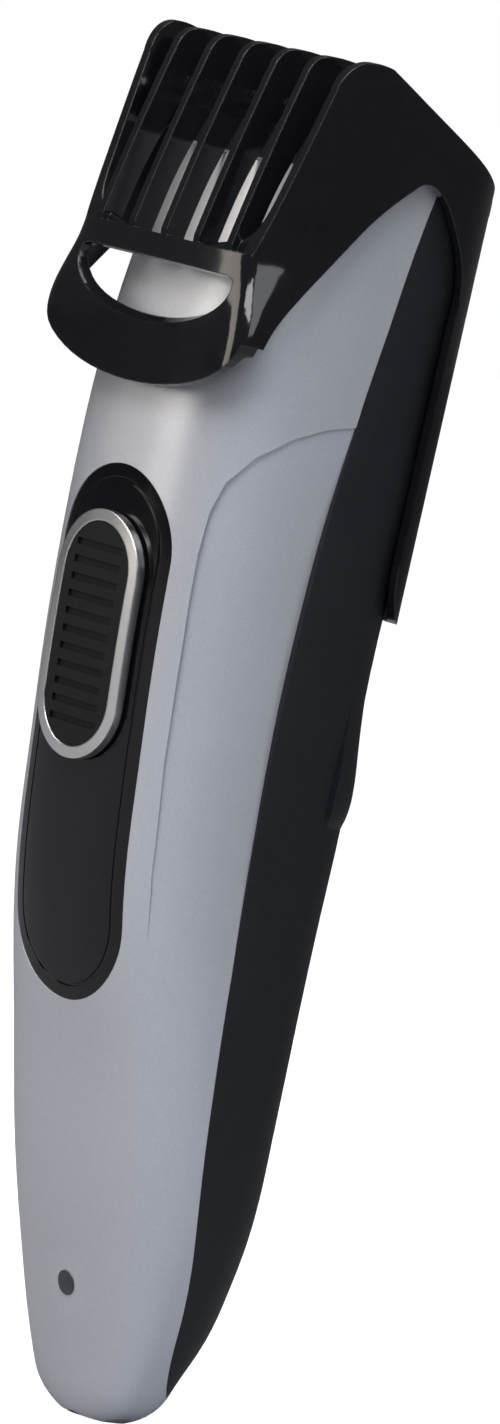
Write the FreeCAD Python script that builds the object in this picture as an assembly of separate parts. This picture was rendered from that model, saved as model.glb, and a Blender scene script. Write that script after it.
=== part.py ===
# Cordless hair clipper with a slide-on guide comb.
# Millimetres.  Origin at the middle of the small flat foot, +Z up the clipper, parallel to its flat
# back; the front with the switch faces -Y; +X is the right-hand side seen from the front.
import FreeCAD, Part
import math
import os
from math import comb as choose

V = FreeCAD.Vector

# ---- driving sizes -------------------------------------------------------------------------------
body_length = 160.0        # foot to the front lip of the open top
body_width = 37.8          # across the head of the body
body_depth = 35.8          # flat back to the fullest part of the front
wall = 2.0                 # moulded shell wall
back_share = 0.218         # share of the depth that lies behind the foot's middle
back_corner = 8.0          # radius of the two rear edges of the body
upper_corner = 10.5        # the same edges where the comb rides over them
running = 0.05             # gap of the close sliding and turning fits
comb_gap = 0.4             # air between the body and the comb sliding over it
comb_wall = 1.3            # side walls of the comb
comb_reach = 14.6          # how far the comb's teeth stand above the body's front lip
comb_stand = 2.7           # how far the comb's front face stands in front of the body
tooth_pitch = 6.55         # spacing of the comb teeth
tooth_thickness = 1.2
panel_width = 21.8         # black oval inlay on the front
panel_length = 67.4
panel_height = body_length - 74.0        # middle of the inlay, a fixed way below the front lip
panel_depth = 1.3
slider_width = 15.8        # silver ring of the power switch
slider_length = 31.4
slider_height = panel_height + 12.0      # middle of the ring above the foot, switch off
slider_travel = 4.0
slider_band = 1.5          # width of the silver band
slider_lift = 1.6          # how far the ring stands off the inlay
light_height = 16.48
light_radius = 1.6
motor_radius = 10.5
motor_length = 27.0
motor_height = body_length - 61.5        # bottom of the motor, a fixed way below the blades
motor_y = -7.5
shaft_radius = 1.0
cell_radius = 7.1          # rechargeable cell, 14 x 50 size
cell_length = 49.0
cell_height = 44.5
board_thickness = 1.6
board_y = 2.6              # front face of the circuit board
board_bottom, board_top = 20.0, 95.0
cell_y = board_y - 1.5 - cell_radius
socket_bore = 1.8          # radius of the charging jack's bore
socket_bore_length = 12.0
socket_radius = 3.4
blade_width = 32.0
blade_tooth_pitch = 1.28
blade_throw = 1.2          # travel of the moving blade to each side
blade_lean = 62.0          # blades lean this far forward from upright, degrees
screw_radius = 1.1
screw_head = 2.1
post_wall = 1.6            # plastic round a screw hole
joint_gap = 0.4            # air round a piece that moves through a slot
far = 60.0                 # reach of the cutting shapes, beyond any side of the body

# ---- outline of the body: height, half width, front reach, back reach, each as a share ------------
PROFILE = (
    (0.000, 0.240, 0.089, 0.100),
    (0.006, 0.350, 0.112, 0.118),
    (0.019, 0.490, 0.141, 0.142),
    (0.050, 0.625, 0.181, 0.176),
    (0.100, 0.765, 0.248, 0.244),
    (0.175, 0.900, 0.352, 0.248),
    (0.280, 0.957, 0.475, 0.224),
    (0.410, 0.950, 0.660, 0.218),
    (0.560, 0.965, 0.753, 0.218),
    (0.720, 1.000, 0.796, 0.218),
    (0.810, 1.000, 0.796, 0.218),
    (0.890, 1.000, 0.758, 0.218),
    (1.000, 0.995, 0.672, 0.218),
    (1.080, 0.985, 0.608, 0.218),
)

half_body = body_width / 2
back_y = back_share * body_depth
comb_half = half_body + comb_gap + comb_wall
comb_back = back_y + comb_gap + comb_wall
comb_top = body_length + comb_reach
comb_front = max(row[2] for row in PROFILE) * body_depth + comb_stand

# curves below are drawn for a body 160 long and 35.8 deep and stretch with the body
tall = body_length / 160.0
deep = body_depth / 35.8

SEAM = (                    # parting line of the shells in side view: y and z
    (12.0, 3.0), (5.5, 3.7), (2.8, 5.2), (0.8, 8.2), (-1.2, 16.0), (-4.3, 28.0), (-7.3, 45.0),
    (-8.9, 65.0), (-10.2, 88.0), (-10.6, 106.0), (-10.4, 115.0), (-9.7, 125.0), (-8.8, 134.5),
    (-7.7, 142.0), (-6.3, 152.0), (-4.3, 162.0), (-1.2, 175.0),
)
SCALLOP = (                 # sharp edge of the hollow on each flank, from the top forwards and down
    (-9.0, 130.4), (-13.5, 129.4), (-17.8, 127.5), (-22.0, 124.2), (-24.4, 120.5), (-25.2, 116.5),
    (-25.3, 111.0), (-25.0, 105.0), (-24.2, 95.0), (-23.2, 85.0), (-21.4, 71.0), (-18.9, 58.0),
    (20.0, 58.0), (20.0, 131.0),
)


def hermite(x, xs, ys):
    """Smooth curve through the points, no overshoot beyond what the slopes give."""
    n = len(xs)
    k = 0
    while k < n - 2 and x > xs[k + 1]:
        k += 1

    def slope(i):
        if i == 0:
            return (ys[1] - ys[0]) / (xs[1] - xs[0])
        if i == n - 1:
            return (ys[-1] - ys[-2]) / (xs[-1] - xs[-2])
        a = (ys[i] - ys[i - 1]) / (xs[i] - xs[i - 1])
        b = (ys[i + 1] - ys[i]) / (xs[i + 1] - xs[i])
        return 0.0 if a * b <= 0 else 2 * a * b / (a + b)

    h = xs[k + 1] - xs[k]
    t = (x - xs[k]) / h
    a, b = slope(k) * h, slope(k + 1) * h
    lift = ys[k + 1] - ys[k]
    return ys[k] + a * t + (3 * lift - 2 * a - b) * t * t + (a + b - 2 * lift) * t ** 3


def share(z, column):
    return hermite(z / body_length, [r[0] for r in PROFILE], [r[column] for r in PROFILE])


def half_width(z):
    return half_body * share(z, 1)


def front_y(z):
    return -body_depth * share(z, 2)


def rear_y(z):
    return body_depth * share(z, 3)


def front_slope(z):
    return front_y(z + 0.5) - front_y(z - 0.5)


def corner_radius(z):
    t = min(max((z / body_length - 0.50) / 0.13, 0.0), 1.0)
    return back_corner + (upper_corner - back_corner) * t * t * (3 - 2 * t)


def foot_roundness(z):
    """The front is nearly flat above and turns rounder towards the foot: 1 at the foot, 0 above."""
    t = min(max((0.28 - z / body_length) / 0.155, 0.0), 1.0)
    return t * t * (3 - 2 * t)


def closed_ring(right, z, grow):
    """Full ring from its right half (front middle to back middle), grown sideways by `grow`."""
    ring = right + [(-x, y) for x, y in reversed(right[1:-1])]
    n = len(ring)
    out = []
    for i in range(n):
        ax, ay = ring[(i - 1) % n]
        cx, cy = ring[(i + 1) % n]
        dx, dy = cx - ax, cy - ay
        d = math.hypot(dx, dy)
        out.append(V(ring[i][0] + grow * dy / d, ring[i][1] - grow * dx / d, z))
    half = n // 2
    curve = Part.BSplineCurve()
    curve.interpolate(out[half:] + out[:half], PeriodicFlag=True)
    return Part.Wire([curve.toShape()])


def rear_corner(w, yb, r):
    """Right rear corner and the right half of the flat back, in plan."""
    points = []
    for i in range(7):
        a = math.pi / 2 * i / 6
        points.append((w - r + r * math.cos(a), yb - r + r * math.sin(a)))
    return points + [((w - r) / 2, yb), (0, yb)]


def level_wire(z, grow):
    """One level section of the body, grown or shrunk sideways by `grow`."""
    w, yf, yb = half_width(z), front_y(z), rear_y(z)
    shoulder = min(yf * 0.33, yb - 2.0)
    f = shoulder - yf
    q = foot_roundness(z)
    bx = (0, (0.50 - 0.04 * q) * w, 0.84 * w, w, w)
    by = (yf, yf + 0.02 * q * f, yf + (0.02 + 0.20 * q) * f, yf + (0.45 + 0.12 * q) * f, shoulder)
    right = []
    for i in range(15):
        t = i / 14
        weight = [choose(4, j) * t ** j * (1 - t) ** (4 - j) for j in range(5)]
        right.append((sum(a * b for a, b in zip(weight, bx)), sum(a * b for a, b in zip(weight, by))))
    r = min(corner_radius(z), 0.45 * (yb - yf), 0.75 * w)
    if yb - r > shoulder + 0.5:
        right.append((w, (shoulder + yb - r) / 2))
    return closed_ring(right + rear_corner(w, yb, r), z, grow)


lofts = {}


def body_solid(grow, z0, z1):
    key = (round(grow, 4), round(z0, 4), round(z1, 4))
    if key not in lofts:
        lofts[key] = body_loft(grow, z0, z1)
    return lofts[key].copy()


def body_loft(grow, z0, z1):
    heights = [r[0] * body_length for r in PROFILE]
    heights += [body_length * h for h in (0.033, 0.075, 0.135, 0.225, 0.345, 0.485, 0.64)]
    levels = [z0] + sorted(h for h in heights if z0 + 0.8 < h < z1 - 0.8) + [z1]
    return Part.makeLoft([level_wire(z, grow) for z in levels], True, False)


# ---- small builders ------------------------------------------------------------------------------
def box(x0, x1, y0, y1, z0, z1):
    return Part.makeBox(x1 - x0, y1 - y0, z1 - z0, V(x0, y0, z0))


def rod(r, z0, z1, x=0.0, y=0.0):
    return Part.makeCylinder(r, z1 - z0, V(x, y, z0))


def rod_y(r, y0, y1, x, z):
    return Part.makeCylinder(r, y1 - y0, V(x, y0, z), V(0, 1, 0))


def side_prism(points, x0, x1):
    """A (y, z) outline pushed along X."""
    wire = Part.makePolygon([V(x0, y, z) for y, z in points + points[:1]])
    return Part.Face(wire).extrude(V(x1 - x0, 0, 0))


def curved_prism(runs, x0, x1):
    """A (y, z) outline of joined runs, pushed along X: two points make a line, more a smooth curve."""
    edges = []
    for i, run in enumerate(runs):
        points = [V(x0, y, z) for y, z in run + runs[(i + 1) % len(runs)][:1]]
        if len(points) == 2:
            edges.append(Part.makeLine(*points))
        else:
            curve = Part.BSplineCurve()
            curve.interpolate(points)
            edges.append(curve.toShape())
    return Part.Face(Part.Wire(edges)).extrude(V(x1 - x0, 0, 0))


def front_prism(points, y0, y1):
    """An (x, z) outline pushed along Y."""
    wire = Part.makePolygon([V(x, y0, z) for x, z in points + points[:1]])
    return Part.Face(wire).extrude(V(0, y1 - y0, 0))


def pill(width, length, height, y0, y1):
    """Upright pill-shaped prism, pushed along Y."""
    r = width / 2
    a = length / 2 - r
    shape = box(-r, r, y0, y1, height - a, height + a)
    for z in (height - a, height + a):
        shape = shape.fuse(rod_y(r, y0, y1, 0, z))
    return shape.removeSplitter()


def both_sides(shape):
    return shape.fuse(shape.mirror(V(0, 0, 0), V(1, 0, 0)))


def tidy(shape):
    solids = shape.Solids
    if len(solids) == 1:
        return solids[0]
    return Part.makeCompound(solids)


def save(name, shape):
    shape = tidy(shape)
    if not shape.isValid():
        print("check", name, "is not valid")
    shape.exportStep("parts/" + name + ".step")
    box_ = shape.BoundBox
    print("%-20s %7.0f mm3  z %.1f..%.1f  solids %d" % (name, shape.Volume, box_.ZMin, box_.ZMax,
                                                        len(shape.Solids)))


# ---- the two shells ------------------------------------------------------------------------------
def rear_region():
    """Everything behind the parting line."""
    seam = [(y * deep, z * tall) for y, z in SEAM]
    return curved_prism([seam[:-1], seam[-1:], [(far, seam[-1][1])], [(far, seam[0][1])]], -far, far)


def top_cut():
    """Everything above the rim of the open top, which peaks at the parting line."""
    lip = body_length
    points = [(-far, lip - 5.0), (front_y(lip) - 2, lip - 0.3), (-8.4, lip + 3.0), (back_y + 2, lip - 3.0),
              (far, lip - 3.0), (far, lip + far), (-far, lip + far)]
    return side_prism(points, -far, far)


def cavity():
    return body_solid(-wall, 0.05 * body_length, 1.07 * body_length)


def scallop():
    """Shallow hollow on each flank, sharp along its upper front edge and fading out downwards."""
    outline = [(y * deep, z * tall) for y, z in SCALLOP]
    floor = ((0.88, 0.25), (0.81, -0.2), (0.74, -0.7), (0.67, -0.85), (0.60, -0.8), (0.53, -0.6),
             (0.46, -0.35), (0.40, -0.1), (0.34, 0.15))
    core = Part.makeLoft([level_wire(h * body_length, g) for h, g in reversed(floor)], True, False)
    flanks = side_prism(outline, -far, far).cut(box(-12, 12, -far, 20, 0, body_length))
    return flanks.cut(core)


screw_spots = ((9.5, 24.0), (12.4, body_length - 21.0))   # x and z of the four shell screws


def posts(x, z, y_join, rear):
    """Screw post standing on the inside of a shell; the two meet at the joint plane."""
    y0, y1 = (y_join, far) if rear else (-far, y_join)
    return both_sides(rod_y(screw_radius + post_wall, y0, y1, x, z))


def screw_joint(z):
    return 1.0 if z < 0.4 * body_length else 0.5


def rooted(shape):
    """The part of a post that lies inside the body and bites 0.3 into the shell wall."""
    return shape.common(body_solid(0.3 - wall, 12, 1.05 * body_length))


def front_shell(outer, hollow, rear, pocket):
    shape = outer.cut(hollow)
    for x, z in screw_spots:
        shape = shape.fuse(rooted(posts(x, z, screw_joint(z), False)))
    shape = shape.cut(rear).cut(top_cut()).cut(scallop()).cut(pocket)
    for x, z in screw_spots:
        shape = shape.fuse(posts(x, z, screw_joint(z), False).common(hollow).common(rear))
    for x, z in screw_spots:
        shape = shape.cut(both_sides(rod_y(screw_radius, screw_joint(z) - 9.0, far, x, z)))
    shape = shape.cut(rod(socket_radius, -1, 30))
    shape = shape.cut(light_rod())
    shape = shape.fuse(rooted(switch_posts()))
    return shape.cut(stem_slot(front_y(panel_height) + 12))


def rear_shell(outer, hollow, rear):
    swell = ((0.490, -0.4), (0.502, -0.05), (0.512, 0.35), (0.525, 0.6), (0.560, 0.45), (0.600, 0.15),
             (0.635, -0.3))
    pad = Part.makeLoft([level_wire(h * body_length, g) for h, g in swell], True, False)
    shape = outer.fuse(pad.common(box(-far, far, 1.0, far, 0, body_length)))
    shape = shape.cut(hollow).common(rear)
    for x, z in screw_spots:
        shape = shape.fuse(rooted(posts(x, z, screw_joint(z), True)))
    shape = shape.cut(top_cut())
    for x, z in screw_spots:
        shape = shape.cut(both_sides(rod_y(screw_radius, -far, far, x, z)))
        shape = shape.cut(both_sides(rod_y(screw_head + 0.1, screw_joint(z) + 2.5, far, x, z)))
    return shape.cut(rod(socket_radius, -1, 30))


def switch_board_spots():
    return [(x, slider_height + z) for x in (-8.0, 8.0) for z in (-11.0, 12.5)]


def switch_posts():
    """Four pins behind the inlay that carry the switch board."""
    pins = [rod_y(1.6, -far, switch_board_y, x, z) for x, z in switch_board_spots()]
    return pins[0].multiFuse(pins[1:])


def shell_screws():
    parts = []
    for x, z in screw_spots:
        y = screw_joint(z)
        screw = rod_y(screw_radius, y - 8.0, y + 2.6, x, z)
        head = rod_y(screw_head, y + 2.5, y + 4.0, x, z)
        cross = box(x - 1.2, x + 1.2, y + 3.3, y + 4.1, z - 0.25, z + 0.25)
        cross = cross.fuse(box(x - 0.25, x + 0.25, y + 3.3, y + 4.1, z - 1.2, z + 1.2))
        screw = screw.fuse(head).cut(cross)
        parts += [screw, screw.mirror(V(0, 0, 0), V(1, 0, 0))]
    return Part.makeCompound(parts)


# ---- inlay, power switch, light ------------------------------------------------------------------
stem_width = 3.2
stem_length = 6.0
pad_floor = 0.9            # floor of the ring above the skin of the body
rib_pitch = 2.2            # spacing of the grooves in the grip
lever_half = 0.9
stem_end = front_y(slider_height) + 5.4
switch_board_y = stem_end + 3.6


def stem_slot(y1):
    """Slot for the stem of the slider over its whole travel."""
    return pill(stem_width + 2 * joint_gap, stem_length + slider_travel + 2 * joint_gap,
                slider_height + slider_travel / 2, -far, y1)


def panel():
    """Oval inlay, a hair below the skin of the shell, with a fine groove inside its rim."""
    prism = pill(panel_width, panel_length, panel_height, -far, -12)
    skin = body_solid(-0.12, 40, 0.87 * body_length)
    core = body_solid(-panel_depth, 38, 0.88 * body_length)
    shape = prism.common(skin).cut(core)
    groove = pill(panel_width - 3.4, panel_length - 3.4, panel_height, -far, -12)
    groove = groove.cut(pill(panel_width - 4.1, panel_length - 4.1, panel_height, -far, -12))
    shape = shape.cut(groove.common(skin).cut(body_solid(-0.32, 40, 0.87 * body_length)))
    return shape.cut(stem_slot(-12))


def panel_pocket(outer):
    prism = pill(panel_width, panel_length, panel_height, -far, -12)
    return prism.common(outer).cut(body_solid(-panel_depth, 38, 0.88 * body_length))


def slider_frame():
    """Silver ring with a closed floor and the stem that reaches the switch."""
    prism = pill(slider_width, slider_length, slider_height, -far, -12)
    skin = body_solid(slider_lift, 60, 0.87 * body_length)
    floor = body_solid(0.35, 55, 0.9 * body_length)
    shape = prism.common(skin).cut(floor)
    well = pill(slider_width - 2 * slider_band, slider_length - 2 * slider_band, slider_height, -far, -12)
    shape = shape.cut(well.cut(body_solid(pad_floor, 55, 0.9 * body_length)))
    stem = pill(stem_width, stem_length, slider_height, front_y(slider_height) - 0.4, stem_end)
    shape = shape.fuse(stem).removeSplitter()
    return shape.cut(switch_lever())


def slider_pad():
    """Grip in the ring with a row of fine cross grooves."""
    inset = 2 * slider_band + 0.2
    well = pill(slider_width - inset, slider_length - inset, slider_height, -far, -12)
    shape = well.common(body_solid(slider_lift - 0.1, 60, 0.87 * body_length))
    shape = shape.cut(body_solid(pad_floor, 55, 0.9 * body_length))
    tops = body_solid(slider_lift - 0.5, 60, 0.87 * body_length)
    for i in range(-5, 6):
        z = slider_height + i * rib_pitch
        bite = box(-4.6, 4.6, -far, -12, z - 0.45, z + 0.45).cut(tops)
        shape = shape.cut(bite)
    return shape


def slide_switch():
    """Small two-position switch under the slider, with a slot for its lever."""
    y0, y1 = stem_end + 0.4, switch_board_y
    z0 = slider_height + slider_travel / 2
    can = box(-3.6, 3.6, y0, y1, z0 - 6.5, z0 + 6.5)
    reach = 1.9 + slider_travel / 2
    slot = box(-1.2, 1.2, y0 - 1, y0 + 1.6, z0 - reach, z0 + reach)
    return can.cut(slot)


def switch_lever():
    return box(-lever_half, lever_half, stem_end - 1.5, stem_end + 1.5,
               slider_height - 1.5, slider_height + 1.5)


def switch_board():
    shape = box(-10.0, 10.0, switch_board_y, switch_board_y + 1.0, slider_height - 13.0, slider_height + 14.5)
    for x, z in switch_board_spots():
        shape = shape.cut(rod_y(0.7, -far, 0, x, z))
    return shape


def light_rod():
    """Short rod square to the front skin, 3 inside it and 1 outside."""
    out = V(0, -1, front_slope(light_height)).normalize()
    skin = V(0, front_y(light_height), light_height)
    return Part.makeCylinder(light_radius, 4.0, skin - out * 3.0, out)


def charge_light():
    return light_rod().common(body_solid(0.15, 5, 40))


# ---- charging socket and electrics ---------------------------------------------------------------
def charging_socket():
    shape = rod(socket_radius, 0, 13.5).fuse(box(-4.2, 4.2, -3.8, 3.8, 13.5, 15.0))
    return shape.cut(rod(socket_bore, -1, socket_bore_length))


def socket_contacts():
    left = box(-2.9, -2.1, -0.3, 0.3, 15.0, 19.0)
    return Part.makeCompound([left, left.mirror(V(0, 0, 0), V(1, 0, 0)),
                              box(-0.4, 0.4, 1.2, 1.8, 15.0, 19.0)])


def circuit_board():
    points = [(-9.0, board_bottom), (9.0, board_bottom), (12.5, 32), (12.5, board_top),
              (-12.5, board_top), (-12.5, 32)]
    shape = front_prism(points, board_y, board_y + board_thickness)
    x, z = screw_spots[0]
    return shape.cut(both_sides(rod_y(screw_radius + post_wall + joint_gap, -10, 20, x, z)))


def board_chips():
    y1 = board_y
    parts = [box(-2.5, 2.5, y1 - 1.4, y1, 31, 36), box(5.0, 8.0, y1 - 1.1, y1, 34, 37.5),
             box(-8.5, -6.0, y1 - 1.1, y1, 32.5, 35.8), rod_y(1.8, y1 - 5.0, y1, -7.0, 38.4)]
    parts += [box(-11.0 + i * 2.2, -9.8 + i * 2.2, y1 - 0.6, y1, 27.6, 29.0) for i in range(11)]
    return Part.makeCompound(parts)


def indicator_led():
    body = box(-1.5, 1.5, -3.9, -2.3, 19.2, 21.4).fuse(rod_y(1.0, -5.0, -3.9, 0, 20.3))
    legs = [box(x - 0.25, x + 0.25, -2.3, board_y, 20.1, 20.6) for x in (-0.9, 0.9)]
    return body.fuse(legs[0]).fuse(legs[1])


def battery_cell():
    can = rod(cell_radius, cell_height, cell_height + cell_length - 1.0, 0, cell_y)
    can = can.makeFillet(0.8, can.Edges)
    return can.fuse(rod(2.8, cell_height + cell_length - 1.2, cell_height + cell_length, 0, cell_y))


def battery_contacts():
    """A spring strip on each end of the cell, with a tab that reaches the circuit board."""
    strip = 0.4
    parts = []
    for z in (cell_height - strip, cell_height + cell_length):
        plate = box(-3.6, 3.6, cell_y - 3.6, cell_y + 3.6, z, z + strip)
        parts.append(plate.fuse(box(-1.5, 1.5, cell_y + 3.6, board_y, z, z + strip)))
    return Part.makeCompound(parts)


plate_top = motor_height + motor_length + 2.0      # top of the plate that the motor hangs from
flat_half = 8.6            # half the distance between the flats of the motor
boss_radius = 3.0
motor_screw_x = 6.0
motor_screw_radius = 1.0
motor_tab_x = 6.5
cap_length = 2.4


def chassis(hollow):
    """Ladder frame that holds the cell and the motor between cross plates."""
    rail_x0, rail_x1 = 12.2, 14.2
    rail_y0, rail_y1 = -5.5, 1.5
    low = cell_height - 3.2
    shape = both_sides(box(rail_x0, rail_x1, rail_y0, rail_y1, low, plate_top))
    for z in (cell_height + 25.5, plate_top - 9.5):
        feet = both_sides(box(rail_x0 + 0.6, rail_x1, 0.5, back_y, z, z + 3.0))
        shape = shape.fuse(feet.common(hollow))
    shape = shape.fuse(box(-rail_x1, rail_x1, rail_y0, rail_y1, low, cell_height - 0.4))
    shape = shape.fuse(box(-7.0, 7.0, -11.5, rail_y0, low, cell_height - 0.4))
    shape = shape.fuse(box(-rail_x1, rail_x1, -11.0, rail_y1, motor_height - 3.6, motor_height - 1.6))
    shape = shape.fuse(box(-rail_x1, rail_x1, -16.0, rail_y1, plate_top - 2.0, plate_top))
    for z in (cell_height + 8.0, cell_height + 34.0):
        web = both_sides(box(5.0, rail_x1, rail_y0, rail_y1, z, z + 2.0))
        shape = shape.fuse(web.cut(rod(cell_radius, z - 1, z + 3, 0, cell_y)))
    shape = shape.cut(rod(boss_radius + 0.1, plate_top - 3, plate_top + 1, 0, motor_y))
    for x in (-motor_screw_x, motor_screw_x):
        shape = shape.cut(rod(motor_screw_radius, plate_top - 3, plate_top + 1, x, motor_y))
    return shape.removeSplitter()


def flatted(z0, z1):
    """A length of the motor: round, with a flat in front and behind."""
    shape = rod(motor_radius, z0, z1, 0, motor_y)
    flats = box(-motor_radius, motor_radius, motor_y - flat_half, motor_y + flat_half, z0, z1)
    return shape.common(flats)


def motor_can():
    z0, z1 = motor_height + cap_length, motor_height + motor_length
    can = flatted(z0, z1).fuse(rod(boss_radius, z1, z1 + 1.6, 0, motor_y))
    can = can.cut(rod(shaft_radius + running, z0 - 1, z1 + 5, 0, motor_y))
    return can.cut(rod(3.4, z0 + 1.0, z1 - 1.0, 0, motor_y))


def motor_end_cap():
    z0 = motor_height
    cap = flatted(z0, z0 + cap_length)
    cap = cap.cut(rod(shaft_radius + running, z0 + 0.8, z0 + 3, 0, motor_y))
    for x in (-motor_tab_x, motor_tab_x):
        cap = cap.fuse(box(x - 0.9, x + 0.9, motor_y - 0.25, motor_y + 0.25, z0 - 1.5, z0 + 0.1))
    return cap


def motor_pad():
    """Soft disc under the motor with room for the two tabs."""
    disc = rod(6.0, motor_height - 1.6, motor_height, 0, motor_y)
    room = box(4.4, 12, motor_y - 2, motor_y + 2, motor_height - 3, motor_height + 1)
    return disc.cut(both_sides(room))


def motor_leads():
    """Two insulated wires from the motor tabs down to the top edge of the circuit board."""
    r = 0.45
    y, z = board_y + 0.6, motor_height - 0.8
    parts = []
    for x in (-motor_tab_x, motor_tab_x):
        level = rod_y(r, motor_y + 0.25, y, x, z)
        bend = Part.makeSphere(r, V(x, y, z))
        parts.append(level.fuse(bend).fuse(rod(r, board_top, z, x, y)))
    return Part.makeCompound(parts)


def motor_screws():
    parts = []
    for x in (-motor_screw_x, motor_screw_x):
        shank = rod(motor_screw_radius, plate_top - 2.0, plate_top, x, motor_y)
        parts.append(shank.fuse(rod(1.7, plate_top, plate_top + 1.0, x, motor_y)))
    return Part.makeCompound(parts)


cam_z = plate_top + 0.8    # underside of the eccentric
pin_radius = 1.1
pin_top = cam_z + 9.6


def motor_shaft():
    return rod(shaft_radius, motor_height + 1.0, cam_z + 5.0, 0, motor_y)


def eccentric():
    """Hub pressed on the shaft, with the crank pin and a small balance weight opposite to it."""
    disc_z, pin_z = cam_z + 4.0, cam_z + 5.2
    hub = rod(boss_radius, cam_z, disc_z, 0, motor_y).cut(rod(shaft_radius, cam_z - 1, pin_z, 0, motor_y))
    disc = rod(boss_radius, disc_z, pin_z, 0, motor_y).cut(rod(shaft_radius, cam_z, cam_z + 5.0, 0, motor_y))
    pin = rod(pin_radius, pin_z, pin_top, 0, motor_y - blade_throw)
    behind = box(-6, 6, motor_y + 0.6, motor_y + 6, cam_z, disc_z)
    weight = rod(5.2, cam_z + 0.6, cam_z + 3.2, 0, motor_y).common(behind)
    weight = weight.cut(rod(boss_radius - 0.1, cam_z - 1, pin_z, 0, motor_y))
    return hub.fuse(disc).fuse(pin).fuse(weight)


# ---- cutting head --------------------------------------------------------------------------------
lean = math.radians(blade_lean)
blade_dir = V(0, -math.sin(lean), math.cos(lean))
blade_up = V(0, math.cos(lean), math.sin(lean))
edge_y = -16.2
edge_z = body_length + 7.6
edge = V(0, edge_y, edge_z)


def blade_place(shape):
    """Local x stays x, local y (tooth direction) and local z (skin side) turn into the leaning plane."""
    m = FreeCAD.Matrix()
    m.A11, m.A12, m.A13 = 1.0, 0.0, 0.0
    m.A21, m.A22, m.A23 = 0.0, blade_dir.y, blade_up.y
    m.A31, m.A32, m.A33 = 0.0, blade_dir.z, blade_up.z
    m.A14, m.A24, m.A34 = 0.0, edge.y, edge.z
    out = shape.copy()
    out.transformShape(m)
    return out


def blade_plate(half, heel, thick, z0, teeth, root, pitch):
    """Flat blade with pointed teeth along +y, tips at y = 0."""
    first = -(teeth - 1) / 2 * pitch
    points = [(-half, -heel), (half, -heel), (half, -root)]
    for i in reversed(range(teeth)):
        x = first + i * pitch
        points += [(x + 0.36 * pitch, -root), (x + 0.12 * pitch, 0.0), (x - 0.12 * pitch, 0.0),
                   (x - 0.36 * pitch, -root)]
    points.append((-half, -root))
    wire = Part.makePolygon([V(x, y, z0) for x, y in points + points[:1]])
    return Part.Face(wire).extrude(V(0, 0, thick))


blade_thick = 1.0
cutter_thick = 0.8
cutter_half = 12.6         # half width of the moving blade
blade_screw_x = 11.5
blade_screw_back = 12.6    # blade screws behind the tips of the teeth


def fixed_blade():
    plate = blade_plate(blade_width / 2, 15.0, blade_thick, 0.0, 24, 3.2, blade_tooth_pitch)
    for x in (-blade_screw_x, blade_screw_x):
        plate = plate.cut(Part.makeCylinder(1.3, 3, V(x, -blade_screw_back, -1)))
    return blade_place(plate)


def moving_blade():
    z0 = -running - cutter_thick
    plate = blade_plate(cutter_half, 9.0, cutter_thick, z0, 19, 3.0, blade_tooth_pitch)
    plate = plate.translated(V(0, -0.5, 0))
    return blade_place(plate)


def blade_screws():
    parts = []
    y = -blade_screw_back
    for x in (-blade_screw_x, blade_screw_x):
        head = Part.makeCylinder(2.1, 0.9, V(x, y, blade_thick))
        cross = Part.makeBox(2.6, 0.5, 0.5, V(x - 1.3, y - 0.25, blade_thick + 0.5))
        shank = Part.makeCylinder(1.2, 5.0, V(x, y, -5.0 + blade_thick))
        parts.append(blade_place(head.fuse(shank).cut(cross)))
    return Part.makeCompound(parts)


def cutter_yoke():
    """White plastic carrier under the moving blade with the slot that the crank pin runs in."""
    z0 = -running - cutter_thick
    bar = Part.makeBox(22.0, 4.0, 2.0, V(-11.0, -9.2, z0 - 2.0))
    arm = blade_place(bar)
    block = box(-6.0, 6.0, motor_y - 4.6, motor_y + 4.6, pin_top - 3.6, pin_top + 1.6)
    side = pin_radius + 2 * blade_throw + 0.2
    slot = box(-side, side, motor_y - 2.8, motor_y + 2.8, pin_top - 5, pin_top + 0.5)
    neck = box(-3.4, 3.4, motor_y - 2.2, motor_y + 2.2, pin_top + 1.6, edge_z + 20)
    neck = neck.common(blade_place(Part.makeBox(40, 60, 60, V(-20, -40, z0 - 62.0))))
    return arm.fuse(block).fuse(neck).cut(slot)


def head_frame(hollow):
    """Black plug that closes the open top of the body and carries the blades."""
    z0 = body_length - 9.0
    nose = side_prism([(front_y(body_length) + 2.4, z0), (front_y(body_length) + 2.4, body_length - 1.5),
                       (-19.6, edge_z - 3.2), (edge_y + 0.9, edge_z - 2.2),
                       (edge_y + 18.0, edge_z - 2.2 - 18.0 * math.cos(lean) / math.sin(lean)),
                       (back_y - wall, body_length - 5.5), (back_y - wall, z0)], -far, far)
    return nose.common(hollow).cut(drive_room(z0))


def drive_room(z0):
    """Room in the head frame for the yoke, the swing of the moving blade, the screws and the blades."""
    room = box(-8.5, 8.5, motor_y - 6.8, motor_y + 6.6, z0 - 1, edge_z - 6.0)
    reach = cutter_half + blade_throw + 0.4
    swing = Part.makeBox(2 * reach, 10.0, 2.4 + cutter_thick, V(-reach, -9.9, -3.15))
    above = Part.makeBox(far, far, 20, V(-far / 2, -40, 0.0))
    room = room.fuse(blade_place(swing)).fuse(blade_place(above))
    for x in (-blade_screw_x, blade_screw_x):
        room = room.fuse(blade_place(Part.makeCylinder(1.2, 8.0, V(x, -blade_screw_back, -6.0))))
    return room


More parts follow.
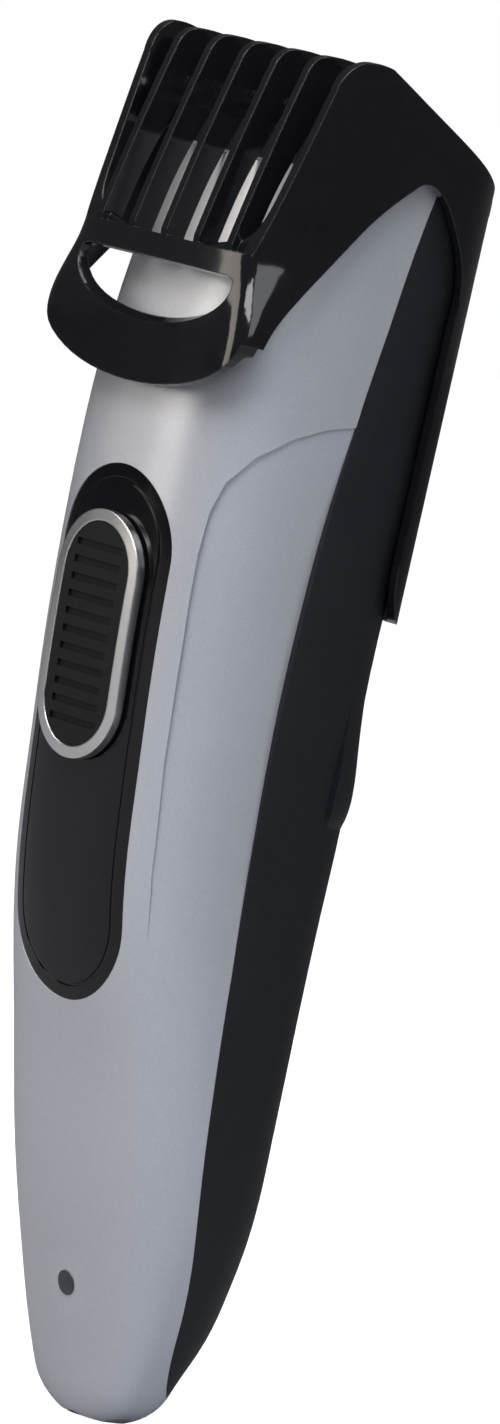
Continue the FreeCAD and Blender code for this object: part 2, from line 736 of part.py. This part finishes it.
# ---- guide comb ----------------------------------------------------------------------------------
# right half of the comb's plan as shares of its half width and front reach: at the teeth, at the chin
COMB_PLAN = (
    ((0.000, 1.000), (0.000, 1.012)),
    ((0.310, 0.999), (0.310, 1.012)),
    ((0.580, 0.990), (0.580, 1.009)),
    ((0.745, 0.976), (0.790, 1.006)),
    ((0.828, 0.950), (0.915, 0.998)),
    ((0.880, 0.893), (0.968, 0.975)),
    ((0.943, 0.793), (0.994, 0.925)),
    ((0.986, 0.655), (1.000, 0.800)),
    ((1.000, 0.510), (1.000, 0.600)),
    ((1.000, 0.300), (1.000, 0.300)),
)


def comb_level(z, fullness, grow):
    """One level of the comb's outside; fullness 1 is the chin, 0 the part with the teeth."""
    right = []
    for upper, chin in COMB_PLAN:
        sx = upper[0] + (chin[0] - upper[0]) * fullness
        sy = upper[1] + (chin[1] - upper[1]) * fullness
        right.append((comb_half * sx, -comb_front * sy))
    r = upper_corner + comb_gap + comb_wall
    return closed_ring(right + rear_corner(comb_half, comb_back, r), z, grow)


def comb_fullness(z):
    t = min(max((-25.0 - z) / 12.0, 0.0), 1.0)
    return t * t * (3 - 2 * t)


def comb_loft(grow):
    wires = [comb_level(comb_top + z, comb_fullness(z), grow) for z in range(-72, 6, 4)]
    return Part.makeLoft(wires, True, False)


def placed(runs):
    return [[(y * deep, comb_top + z) for y, z in run] for run in runs]


def comb_side():
    """Side view of the wings, chin and rear legs, z from the tooth tips."""
    return placed([
        [(14.0, -67.6)], [(14.0, -15.6)],
        [(-17.3, 0.05), (-19.0, 0.3), (-21.0, 0.2), (-22.6, -0.5), (-23.9, -1.9)],
        [(-24.6, -4.2), (-26.4, -11.8), (-28.0, -18.6)],
        [(-29.9, -26.0)], [(-36.0, -26.0)], [(-36.0, -50.0)],
        [(-29.2, -50.0), (-28.9, -42.0), (-28.2, -37.8), (-26.9, -34.4), (-24.8, -31.3), (-21.7, -27.3),
         (-18.0, -22.3), (-15.3, -18.9), (-12.9, -16.5)],
        [(-9.6, -13.7), (-7.6, -12.9), (-5.6, -13.6), (-1.8, -17.8), (1.2, -22.6)],
        [(2.0, -28.9)],
        [(2.0, -60.0), (2.5, -63.6), (4.2, -66.6)],
        [(7.0, -67.6)],
    ])


def tooth_side():
    """Side view of one tooth: a raked front bar with a rounded nose, then the slope to the back."""
    return placed([
        [(-30.6, -28.0)],
        [(-30.8, -25.2), (-29.3, -18.6), (-27.1, -10.0), (-25.3, -3.6)],
        [(-25.0, -2.6), (-24.2, -1.1), (-22.9, -0.25), (-21.2, 0.0), (-19.0, -0.05)],
        [(-17.3, -0.2)],
        [(8.9, -13.3)], [(8.9, -15.2)],
        [(6.0, -15.4), (0.0, -12.4), (-10.5, -7.0), (-17.0, -4.7), (-20.2, -5.6), (-22.6, -9.5),
         (-25.9, -18.0)],
        [(-27.7, -25.2)], [(-28.2, -28.0)],
    ])


def chin_outline():
    """Everything under the curved lower edge of the chin, in front view."""
    half = 0.947 * comb_half
    z = comb_top - 37.0
    arc = [(-half * math.cos(math.pi * i / 24), z - 7.6 * math.sin(math.pi * i / 24)) for i in range(25)]
    return [(-40, z - 20), (-40, z)] + arc + [(40, z), (40, z - 20)]


def window_wire(y, spread):
    """D-shaped window, straight above and bowed below, widened by `spread`."""
    half = 0.728 * comb_half + 0.6 * spread
    z = comb_top - 30.4
    lift = 1.1 + 0.3 * spread
    points = [(-half + 1.3, z + lift), (half - 1.3, z + lift), (half - 0.2, z + 0.75 * lift)]
    points += [(half * math.cos(math.pi * i / 24), z - (5.4 + spread) * math.sin(math.pi * i / 24))
               for i in range(25)]
    points.append((-half + 0.2, z + 0.75 * lift))
    return Part.makePolygon([V(x, y, h) for x, h in points + points[:1]])


def guide_comb():
    side = curved_prism(comb_side(), -far, far)
    shape = comb_loft(0.0).common(side).cut(comb_loft(-comb_wall))
    shape = shape.cut(box(-8.0, 8.0, 0, 20, comb_top - 80, comb_top - 22))
    shape = shape.cut(front_prism(chin_outline(), -far, -22))
    inner_y = -comb_front + comb_wall
    outer_y = -comb_front - 0.6
    shape = shape.cut(Part.makeLoft([window_wire(inner_y, 0.0), window_wire(outer_y, 1.3)], True, True))
    shape = shape.cut(Part.makeLoft([window_wire(inner_y + 3, 0.0), window_wire(inner_y, 0.0)], True, True))
    tooth = curved_prism(tooth_side(), -tooth_thickness / 2, tooth_thickness / 2)
    for i in (-2, -1, 0, 1, 2):
        shape = shape.fuse(tooth.translated(V(i * tooth_pitch, 0, 0)))
    return shape


# ---- write every piece ---------------------------------------------------------------------------
os.makedirs("parts", exist_ok=True)
OUTER = body_solid(0.0, 0.0, 1.05 * body_length)
HOLLOW = cavity()
REAR = rear_region()
save("front_shell", front_shell(OUTER, HOLLOW, REAR, panel_pocket(OUTER)))
save("rear_shell", rear_shell(OUTER, HOLLOW, REAR))
save("shell_screws", shell_screws())
save("switch_panel", panel())
save("slider_frame", slider_frame())
save("slider_pad", slider_pad())
save("slide_switch", slide_switch())
save("switch_lever", switch_lever())
save("switch_board", switch_board())
save("charge_light", charge_light())
save("charging_socket", charging_socket())
save("socket_contacts", socket_contacts())
save("circuit_board", circuit_board())
save("board_chips", board_chips())
save("indicator_led", indicator_led())
save("battery_cell", battery_cell())
save("battery_contacts", battery_contacts())
save("chassis", chassis(HOLLOW))
save("motor_can", motor_can())
save("motor_end_cap", motor_end_cap())
save("motor_pad", motor_pad())
save("motor_leads", motor_leads())
save("motor_screws", motor_screws())
save("motor_shaft", motor_shaft())
save("eccentric", eccentric())
save("fixed_blade", fixed_blade())
save("moving_blade", moving_blade())
save("cutter_yoke", cutter_yoke())
save("blade_screws", blade_screws())
save("head_frame", head_frame(HOLLOW))
save("guide_comb", guide_comb())
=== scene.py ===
# %% [markdown]
# # A cordless hair clipper
# The clipper is a slim handle: a silver front shell and a dark rear shell that meet along the side,
# a black oval inlay with a slide switch, and a glossy guide comb over the blades.  The exact shapes
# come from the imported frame.  This script gives each piece its finish and sets up a small photo studio.

# %% Load the frame
import bpy
import bmesh
import math
from mathutils import Matrix, Vector


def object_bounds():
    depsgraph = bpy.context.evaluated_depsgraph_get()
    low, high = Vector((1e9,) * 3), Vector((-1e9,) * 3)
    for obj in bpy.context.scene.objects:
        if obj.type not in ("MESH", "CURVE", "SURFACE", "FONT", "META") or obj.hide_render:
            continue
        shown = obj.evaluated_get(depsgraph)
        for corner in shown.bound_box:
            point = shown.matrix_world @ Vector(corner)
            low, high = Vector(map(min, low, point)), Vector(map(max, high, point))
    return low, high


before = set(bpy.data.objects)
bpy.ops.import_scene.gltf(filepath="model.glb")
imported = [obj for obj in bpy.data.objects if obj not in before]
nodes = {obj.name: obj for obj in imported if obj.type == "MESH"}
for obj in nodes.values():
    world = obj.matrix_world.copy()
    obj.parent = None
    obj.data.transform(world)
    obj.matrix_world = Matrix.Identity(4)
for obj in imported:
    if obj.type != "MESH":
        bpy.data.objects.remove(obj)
cad_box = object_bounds()
low, high = cad_box
print("frame:", len(nodes), "pieces,", [round((b - a) * 1000, 1) for a, b in zip(low, high)], "mm")

# %% [markdown]
# ## Helpers for materials
# Every material below is built from nodes.  A small class keeps the wiring short: `add` makes a node
# and sets its plain values, `link` joins two sockets.

# %% Node helpers
class Tree:
    """A node tree with short calls to add and join nodes."""

    def __init__(self, tree):
        self.tree = tree

    def add(self, kind, label="", **values):
        node = self.tree.nodes.new(kind)
        node.label = label
        for name, value in values.items():
            if name.startswith("in_"):
                node.inputs[int(name[3:])].default_value = value
            else:
                setattr(node, name, value)
        return node

    def link(self, a, b):
        self.tree.links.new(a, b)

    def math(self, operation, a, b=None, clamp=False):
        node = self.add("ShaderNodeMath", operation=operation, use_clamp=clamp)
        for socket, value in zip(node.inputs, (a, b)):
            if value is None:
                continue
            if isinstance(value, (int, float)):
                socket.default_value = value
            else:
                self.link(value, socket)
        return node.outputs[0]


def new_group(name, inputs, outputs):
    """An empty shader group with named sockets: (name, kind, default)."""
    group = bpy.data.node_groups.new(name, "ShaderNodeTree")
    for title, kind, default in inputs:
        socket = group.interface.new_socket(title, in_out="INPUT", socket_type=kind)
        socket.default_value = default
    for title, kind in outputs:
        group.interface.new_socket(title, in_out="OUTPUT", socket_type=kind)
    tree = Tree(group)
    return group, tree, tree.add("NodeGroupInput"), tree.add("NodeGroupOutput")


FLOAT = "NodeSocketFloat"

# %% [markdown]
# ## Shared effects
# Moulded plastic is never perfectly even.  Three effects are shared by most finishes: a fine grain
# left by the mould or the paint, soft smudges from fingers, and edges rubbed brighter by use.  Each is
# a node group that puts out one number, so that every material can decide what to do with it.

# %% Grain group
def make_grain():
    group, t, source, out = new_group(
        "Fine grain",
        [("Grains per metre", FLOAT, 4000.0), ("Softness", FLOAT, 0.5)],
        [("Height", FLOAT), ("Sparkle", FLOAT)])
    place = t.add("ShaderNodeTexCoord")
    noise = t.add("ShaderNodeTexNoise", "grain")
    noise.inputs["Detail"].default_value = 3.0
    cells = t.add("ShaderNodeTexVoronoi", "flakes")
    t.link(place.outputs["Object"], noise.inputs["Vector"])
    t.link(place.outputs["Object"], cells.inputs["Vector"])
    t.link(source.outputs[0], noise.inputs["Scale"])
    t.link(source.outputs[0], cells.inputs["Scale"])
    t.link(source.outputs[1], noise.inputs["Roughness"])
    t.link(noise.outputs[0], out.inputs[0])
    split = t.add("ShaderNodeSeparateColor")
    t.link(cells.outputs["Color"], split.inputs[0])
    t.link(split.outputs[0], out.inputs[1])
    return group


grain_group = make_grain()
print("group:", grain_group.name)

# %% Smudge group
def make_smudge():
    group, t, source, out = new_group(
        "Finger smudge", [("Smudges per metre", FLOAT, 60.0), ("Coverage", FLOAT, 0.5)],
        [("Amount", FLOAT)])
    place = t.add("ShaderNodeTexCoord")
    broad = t.add("ShaderNodeTexNoise", "broad")
    broad.inputs["Detail"].default_value = 4.0
    broad.inputs["Distortion"].default_value = 0.6
    t.link(place.outputs["Object"], broad.inputs["Vector"])
    t.link(source.outputs[0], broad.inputs["Scale"])
    cut = t.math("SUBTRACT", broad.outputs[0], source.outputs[1])
    lifted = t.math("MULTIPLY", cut, 3.0, clamp=True)
    t.link(lifted, out.inputs[0])
    return group


smudge_group = make_smudge()
print("group:", smudge_group.name)

# %% Edge wear group
def make_edge_wear():
    group, t, source, out = new_group(
        "Edge wear", [("Breakup per metre", FLOAT, 900.0), ("Reach", FLOAT, 0.5)], [("Mask", FLOAT)])
    shape = t.add("ShaderNodeNewGeometry")
    place = t.add("ShaderNodeTexCoord")
    patch = t.add("ShaderNodeTexNoise", "breakup")
    patch.inputs["Detail"].default_value = 2.0
    t.link(place.outputs["Object"], patch.inputs["Vector"])
    t.link(source.outputs[0], patch.inputs["Scale"])
    flat_pointiness, sharpening = 0.53, 14.0
    sharp = t.math("SUBTRACT", shape.outputs["Pointiness"], flat_pointiness)
    sharp = t.math("MULTIPLY", sharp, sharpening, clamp=True)
    broken = t.math("MULTIPLY", sharp, patch.outputs[0])
    t.link(t.math("MULTIPLY", broken, source.outputs[1], clamp=True), out.inputs[0])
    return group


edge_group = make_edge_wear()
print("group:", edge_group.name)

# %% Brushed metal group
def make_brushed():
    group, t, source, out = new_group(
        "Brushed lines", [("Lines per metre", FLOAT, 9000.0), ("Stretch", FLOAT, 40.0)], [("Lines", FLOAT)])
    place = t.add("ShaderNodeTexCoord")
    split = t.add("ShaderNodeSeparateXYZ")
    join = t.add("ShaderNodeCombineXYZ")
    t.link(place.outputs["Object"], split.inputs[0])
    for i in range(3):
        value = split.outputs[i]
        if i != 0:
            value = t.math("DIVIDE", value, source.outputs[1])
        t.link(value, join.inputs[i])
    lines = t.add("ShaderNodeTexNoise", "lines")
    lines.inputs["Detail"].default_value = 2.0
    t.link(join.outputs[0], lines.inputs["Vector"])
    t.link(source.outputs[0], lines.inputs["Scale"])
    t.link(lines.outputs[0], out.inputs[0])
    return group


brushed_group = make_brushed()
print("group:", brushed_group.name)

# %% [markdown]
# ## One recipe for a finish
# Most finishes here differ only in their numbers: a base colour with a slightly different second
# colour where the grain or the wear shows, a roughness that moves with the smudges, and a small
# bump.  The recipe wires that once.  The plain values that do not change over the surface sit on the
# shader itself.
#
# A mould never leaves a knife edge.  The Bevel node bends the shading near each sharp edge as if it
# were rounded by a fraction of a millimetre, so that edges catch the light as thin bright lines while
# the exact shapes stay as they are.

# %% Finish recipe
materials = {}
relief_depth = 0.0002      # metres between the low and the high spots of the grain


def finish(name, colour, second, rough, rough_spread=0.08, metallic=0.0, grain=4000.0, mix=0.3,
           bump=0.02, wear=0.0, wear_colour=(0.5, 0.5, 0.5), smudge=0.5, coat=0.0, coat_rough=0.1,
           brushed=False, specular=0.5, edge_round=0.00015):
    material = bpy.data.materials.new(name)
    material.use_nodes = True
    t = Tree(material.node_tree)
    shader = material.node_tree.nodes["Principled BSDF"]
    shader.inputs["Metallic"].default_value = metallic
    shader.inputs["Coat Weight"].default_value = coat
    shader.inputs["Coat Roughness"].default_value = coat_rough
    shader.inputs["Specular IOR Level"].default_value = specular
    speck = t.add("ShaderNodeGroup", node_tree=brushed_group if brushed else grain_group)
    speck.inputs[0].default_value = grain
    height = speck.outputs[0]
    tint = speck.outputs[0] if brushed else speck.outputs[1]
    blend = t.add("ShaderNodeMix", data_type="RGBA")
    blend.inputs[6].default_value = (*colour, 1)
    blend.inputs[7].default_value = (*second, 1)
    t.link(t.math("MULTIPLY", tint, mix), blend.inputs[0])
    colour_out = blend.outputs[2]
    if wear:
        edge = t.add("ShaderNodeGroup", node_tree=edge_group)
        edge.inputs[1].default_value = wear
        rubbed = t.add("ShaderNodeMix", data_type="RGBA")
        rubbed.inputs[7].default_value = (*wear_colour, 1)
        t.link(edge.outputs[0], rubbed.inputs[0])
        t.link(colour_out, rubbed.inputs[6])
        colour_out = rubbed.outputs[2]
    t.link(colour_out, shader.inputs["Base Color"])
    prints = t.add("ShaderNodeGroup", node_tree=smudge_group)
    prints.inputs[1].default_value = smudge
    spread = t.math("MULTIPLY", prints.outputs[0], rough_spread)
    t.link(t.math("ADD", spread, rough), shader.inputs["Roughness"])
    relief = t.add("ShaderNodeBump")
    relief.inputs["Strength"].default_value = bump
    relief.inputs["Distance"].default_value = relief_depth
    rounding = t.add("ShaderNodeBevel", samples=6)
    rounding.inputs["Radius"].default_value = edge_round
    t.link(rounding.outputs[0], relief.inputs["Normal"])
    t.link(height, relief.inputs["Height"])
    t.link(relief.outputs[0], shader.inputs["Normal"])
    materials[name] = material
    return material

# %% [markdown]
# ## The finishes
# The front shell is painted plastic: aluminium flakes in a satin lacquer, so it is metallic but soft.
# The rear shell is moulded in a blue-black with a spark-eroded grain.  Inlay and comb come out of a
# polished mould, so they mirror the studio.  Inside, the pieces have the plain colours of their trade.

# %% Make the finishes
finish("silver paint", (0.56, 0.575, 0.62), (0.70, 0.715, 0.76), 0.36, metallic=0.5, grain=9000, mix=0.55,
       bump=0.05, wear=0.25, wear_colour=(0.8, 0.8, 0.8), smudge=0.45, rough_spread=0.07)
finish("rear plastic", (0.0045, 0.006, 0.009), (0.008, 0.010, 0.015), 0.52, grain=6000, mix=0.6, bump=0.25,
       wear=0.15, wear_colour=(0.06, 0.06, 0.07), specular=0.4)
finish("gloss inlay", (0.004, 0.004, 0.005), (0.007, 0.007, 0.008), 0.07, grain=1500, bump=0.004,
       rough_spread=0.06, smudge=0.52, specular=0.4)
finish("gloss comb", (0.006, 0.006, 0.008), (0.010, 0.010, 0.012), 0.09, grain=1500, bump=0.006,
       rough_spread=0.10, smudge=0.52, coat=0.2, coat_rough=0.05, wear=0.1, wear_colour=(0.05, 0.05, 0.05),
       edge_round=0.0003)
finish("ring plating", (0.74, 0.74, 0.75), (0.84, 0.84, 0.85), 0.24, metallic=1.0, grain=7000, bump=0.02,
       edge_round=0.0003)
finish("grip pad", (0.003, 0.003, 0.003), (0.007, 0.007, 0.007), 0.6, grain=5000, bump=0.3, specular=0.3)
finish("smoked lens", (0.02, 0.02, 0.03), (0.05, 0.05, 0.07), 0.12, grain=800, bump=0.01, coat=0.6)
finish("blade steel", (0.52, 0.52, 0.53), (0.74, 0.74, 0.75), 0.26, metallic=1.0, brushed=True, mix=0.6,
       bump=0.06)
finish("screw steel", (0.35, 0.35, 0.36), (0.5, 0.5, 0.5), 0.35, metallic=1.0, brushed=True, bump=0.05)
finish("motor steel", (0.45, 0.45, 0.46), (0.6, 0.6, 0.6), 0.38, metallic=1.0, brushed=True, bump=0.05)
finish("drive plastic", (0.75, 0.74, 0.70), (0.82, 0.81, 0.78), 0.45, bump=0.1, wear=0.2)
finish("frame plastic", (0.20, 0.21, 0.23), (0.26, 0.27, 0.29), 0.5, bump=0.15)
finish("head plastic", (0.012, 0.012, 0.013), (0.022, 0.022, 0.024), 0.42, bump=0.2)
finish("soft rubber", (0.02, 0.02, 0.02), (0.035, 0.035, 0.035), 0.7, bump=0.2)
finish("board laminate", (0.01, 0.12, 0.05), (0.02, 0.18, 0.08), 0.35, grain=2500, mix=0.7, bump=0.05)
finish("chip body", (0.015, 0.015, 0.015), (0.03, 0.03, 0.03), 0.5, bump=0.1)
finish("cell wrap", (0.02, 0.16, 0.07), (0.03, 0.20, 0.10), 0.28, bump=0.02, coat=0.3)
finish("contact nickel", (0.62, 0.58, 0.48), (0.74, 0.70, 0.60), 0.3, metallic=1.0, brushed=True)
finish("socket plastic", (0.015, 0.015, 0.016), (0.03, 0.03, 0.03), 0.45, bump=0.15)
finish("red lamp", (0.35, 0.02, 0.015), (0.5, 0.04, 0.03), 0.2, bump=0.01)
finish("lead cover", (0.35, 0.02, 0.02), (0.45, 0.04, 0.04), 0.5, bump=0.1)
print("finishes:", len(materials))

# %% Give every piece its finish
wearing = {
    "front_shell": "silver paint", "rear_shell": "rear plastic", "shell_screws": "screw steel",
    "switch_panel": "gloss inlay", "slider_frame": "ring plating", "slider_pad": "grip pad",
    "charge_light": "smoked lens", "guide_comb": "gloss comb", "head_frame": "head plastic",
    "fixed_blade": "blade steel", "moving_blade": "blade steel", "blade_screws": "screw steel",
    "cutter_yoke": "drive plastic", "eccentric": "drive plastic", "motor_shaft": "motor steel",
    "motor_can": "motor steel", "motor_end_cap": "chip body", "motor_pad": "soft rubber",
    "motor_leads": "lead cover", "motor_screws": "screw steel", "chassis": "frame plastic",
    "battery_cell": "cell wrap", "battery_contacts": "contact nickel", "circuit_board": "board laminate",
    "switch_board": "board laminate", "board_chips": "chip body", "slide_switch": "chip body",
    "switch_lever": "drive plastic", "indicator_led": "red lamp", "charging_socket": "socket plastic",
    "socket_contacts": "contact nickel",
}
for name, node in nodes.items():
    node.data.materials.clear()
    node.data.materials.append(materials[wearing[name]])
print("finished pieces:", len(wearing))

# %% [markdown]
# ## The studio
# The clipper is shown against white.  Large soft lights give broad highlights on the satin shell, and
# dark surroundings keep the gloss black pieces black, with crisp pale reflections only where a light
# is mirrored.

# %% Floor and world
floor_radius = 6.0
floor_gap = 0.0005         # air under the foot, so that floor and foot never share a plane


def make_floor():
    mesh = bpy.data.meshes.new("studio_floor")
    shape = bmesh.new()
    bmesh.ops.create_circle(shape, cap_ends=True, radius=floor_radius, segments=64)
    shape.to_mesh(mesh)
    shape.free()
    floor = bpy.data.objects.new("studio_floor", mesh)
    floor.location.z = low.z - floor_gap
    bpy.context.scene.collection.objects.link(floor)
    material = bpy.data.materials.new("studio white")
    material.use_nodes = True
    t = Tree(material.node_tree)
    shader = material.node_tree.nodes["Principled BSDF"]
    shader.inputs["Base Color"].default_value = (0.42, 0.43, 0.45, 1)
    shader.inputs["Roughness"].default_value = 0.9
    shader.inputs["Specular IOR Level"].default_value = 0.0
    shader.inputs["Emission Color"].default_value = (1, 1, 1, 1)
    path = t.add("ShaderNodeLightPath")
    t.link(path.outputs["Is Camera Ray"], shader.inputs["Emission Strength"])
    floor.data.materials.append(material)
    return floor


make_floor()
world = bpy.data.worlds.new("studio")
world.use_nodes = True
bpy.context.scene.world = world
wt = Tree(world.node_tree)
sky = world.node_tree.nodes["Background"]
sky.inputs["Color"].default_value = (0.80, 0.83, 0.88, 1)
sky.inputs["Strength"].default_value = 0.10
seen = wt.add("ShaderNodeBackground")
seen.inputs["Color"].default_value = (1, 1, 1, 1)
choose = wt.add("ShaderNodeMixShader")
path = wt.add("ShaderNodeLightPath")
wt.link(path.outputs["Is Camera Ray"], choose.inputs[0])
wt.link(sky.outputs[0], choose.inputs[1])
wt.link(seen.outputs[0], choose.inputs[2])
wt.link(choose.outputs[0], world.node_tree.nodes["World Output"].inputs["Surface"])

# %% Lights
aim = Vector((0, -0.008, 0.09))     # the middle of the clipper


def soft_light(name, azimuth, elevation, distance, width, height, watts, colour=(1, 1, 1)):
    """A rectangular soft box at a bearing round the clipper, facing it."""
    data = bpy.data.lights.new(name, "AREA")
    data.shape = "RECTANGLE"
    data.size = width
    data.size_y = height
    data.energy = watts
    data.color = colour
    a, e = math.radians(azimuth), math.radians(elevation)
    away = Vector((math.sin(a) * math.cos(e), -math.cos(a) * math.cos(e), math.sin(e)))
    lamp = bpy.data.objects.new(name, data)
    lamp.location = aim + away * distance
    lamp.rotation_mode = "QUATERNION"
    lamp.rotation_quaternion = (-away).to_track_quat("-Z", "Y")
    lamp.visible_camera = False
    bpy.context.scene.collection.objects.link(lamp)
    return lamp


soft_light("key", 28, 46, 0.9, 0.5, 0.5, 5.5, (0.97, 0.98, 1.0))
soft_light("warm fill", -32, 20, 1.0, 0.35, 0.8, 2.8, (1.0, 0.92, 0.82))
soft_light("side", 70, 34, 1.0, 0.5, 0.6, 2.2, (0.92, 0.95, 1.0))
soft_light("rim", 128, 55, 0.9, 0.3, 0.5, 1.6, (0.96, 0.98, 1.0))
soft_light("top", 20, 82, 0.8, 0.4, 0.4, 1.6)
print("lights set")

# %% [markdown]
# ## The camera
# A long lens stands more than a metre away, turned to the clipper's right and a little above it.  The
# camera is rolled so that the clipper leans across the tall picture.

# %% Camera
view_azimuth = math.radians(50.0)
view_elevation = math.radians(3.81)
view_roll = math.radians(12.67)
view_distance = 1.200
aim_point = Vector((0, -0.00145, 0.088))
picture_height = 0.18009      # height of the picture at the clipper, metres

camera_data = bpy.data.cameras.new("camera")
camera_data.sensor_width = 36.0
camera_data.lens = camera_data.sensor_width * view_distance / picture_height
camera_data.shift_x = 0.0104
camera_data.shift_y = 0.0192
camera_data.clip_start = 0.01
camera_data.clip_end = 20
camera = bpy.data.objects.new("camera", camera_data)
bpy.context.scene.collection.objects.link(camera)
right = Vector((math.cos(view_azimuth), math.sin(view_azimuth), 0))
back = Vector((math.sin(view_azimuth) * math.cos(view_elevation),
               -math.cos(view_azimuth) * math.cos(view_elevation), math.sin(view_elevation)))
up = back.cross(right)
rolled_right = right * math.cos(view_roll) + up * math.sin(view_roll)
rolled_up = up * math.cos(view_roll) - right * math.sin(view_roll)
turn = Matrix((rolled_right, rolled_up, back)).transposed().to_4x4()
camera.matrix_world = Matrix.Translation(aim_point + back * view_distance) @ turn
bpy.context.scene.camera = camera
bpy.context.scene.view_settings.view_transform = "Standard"
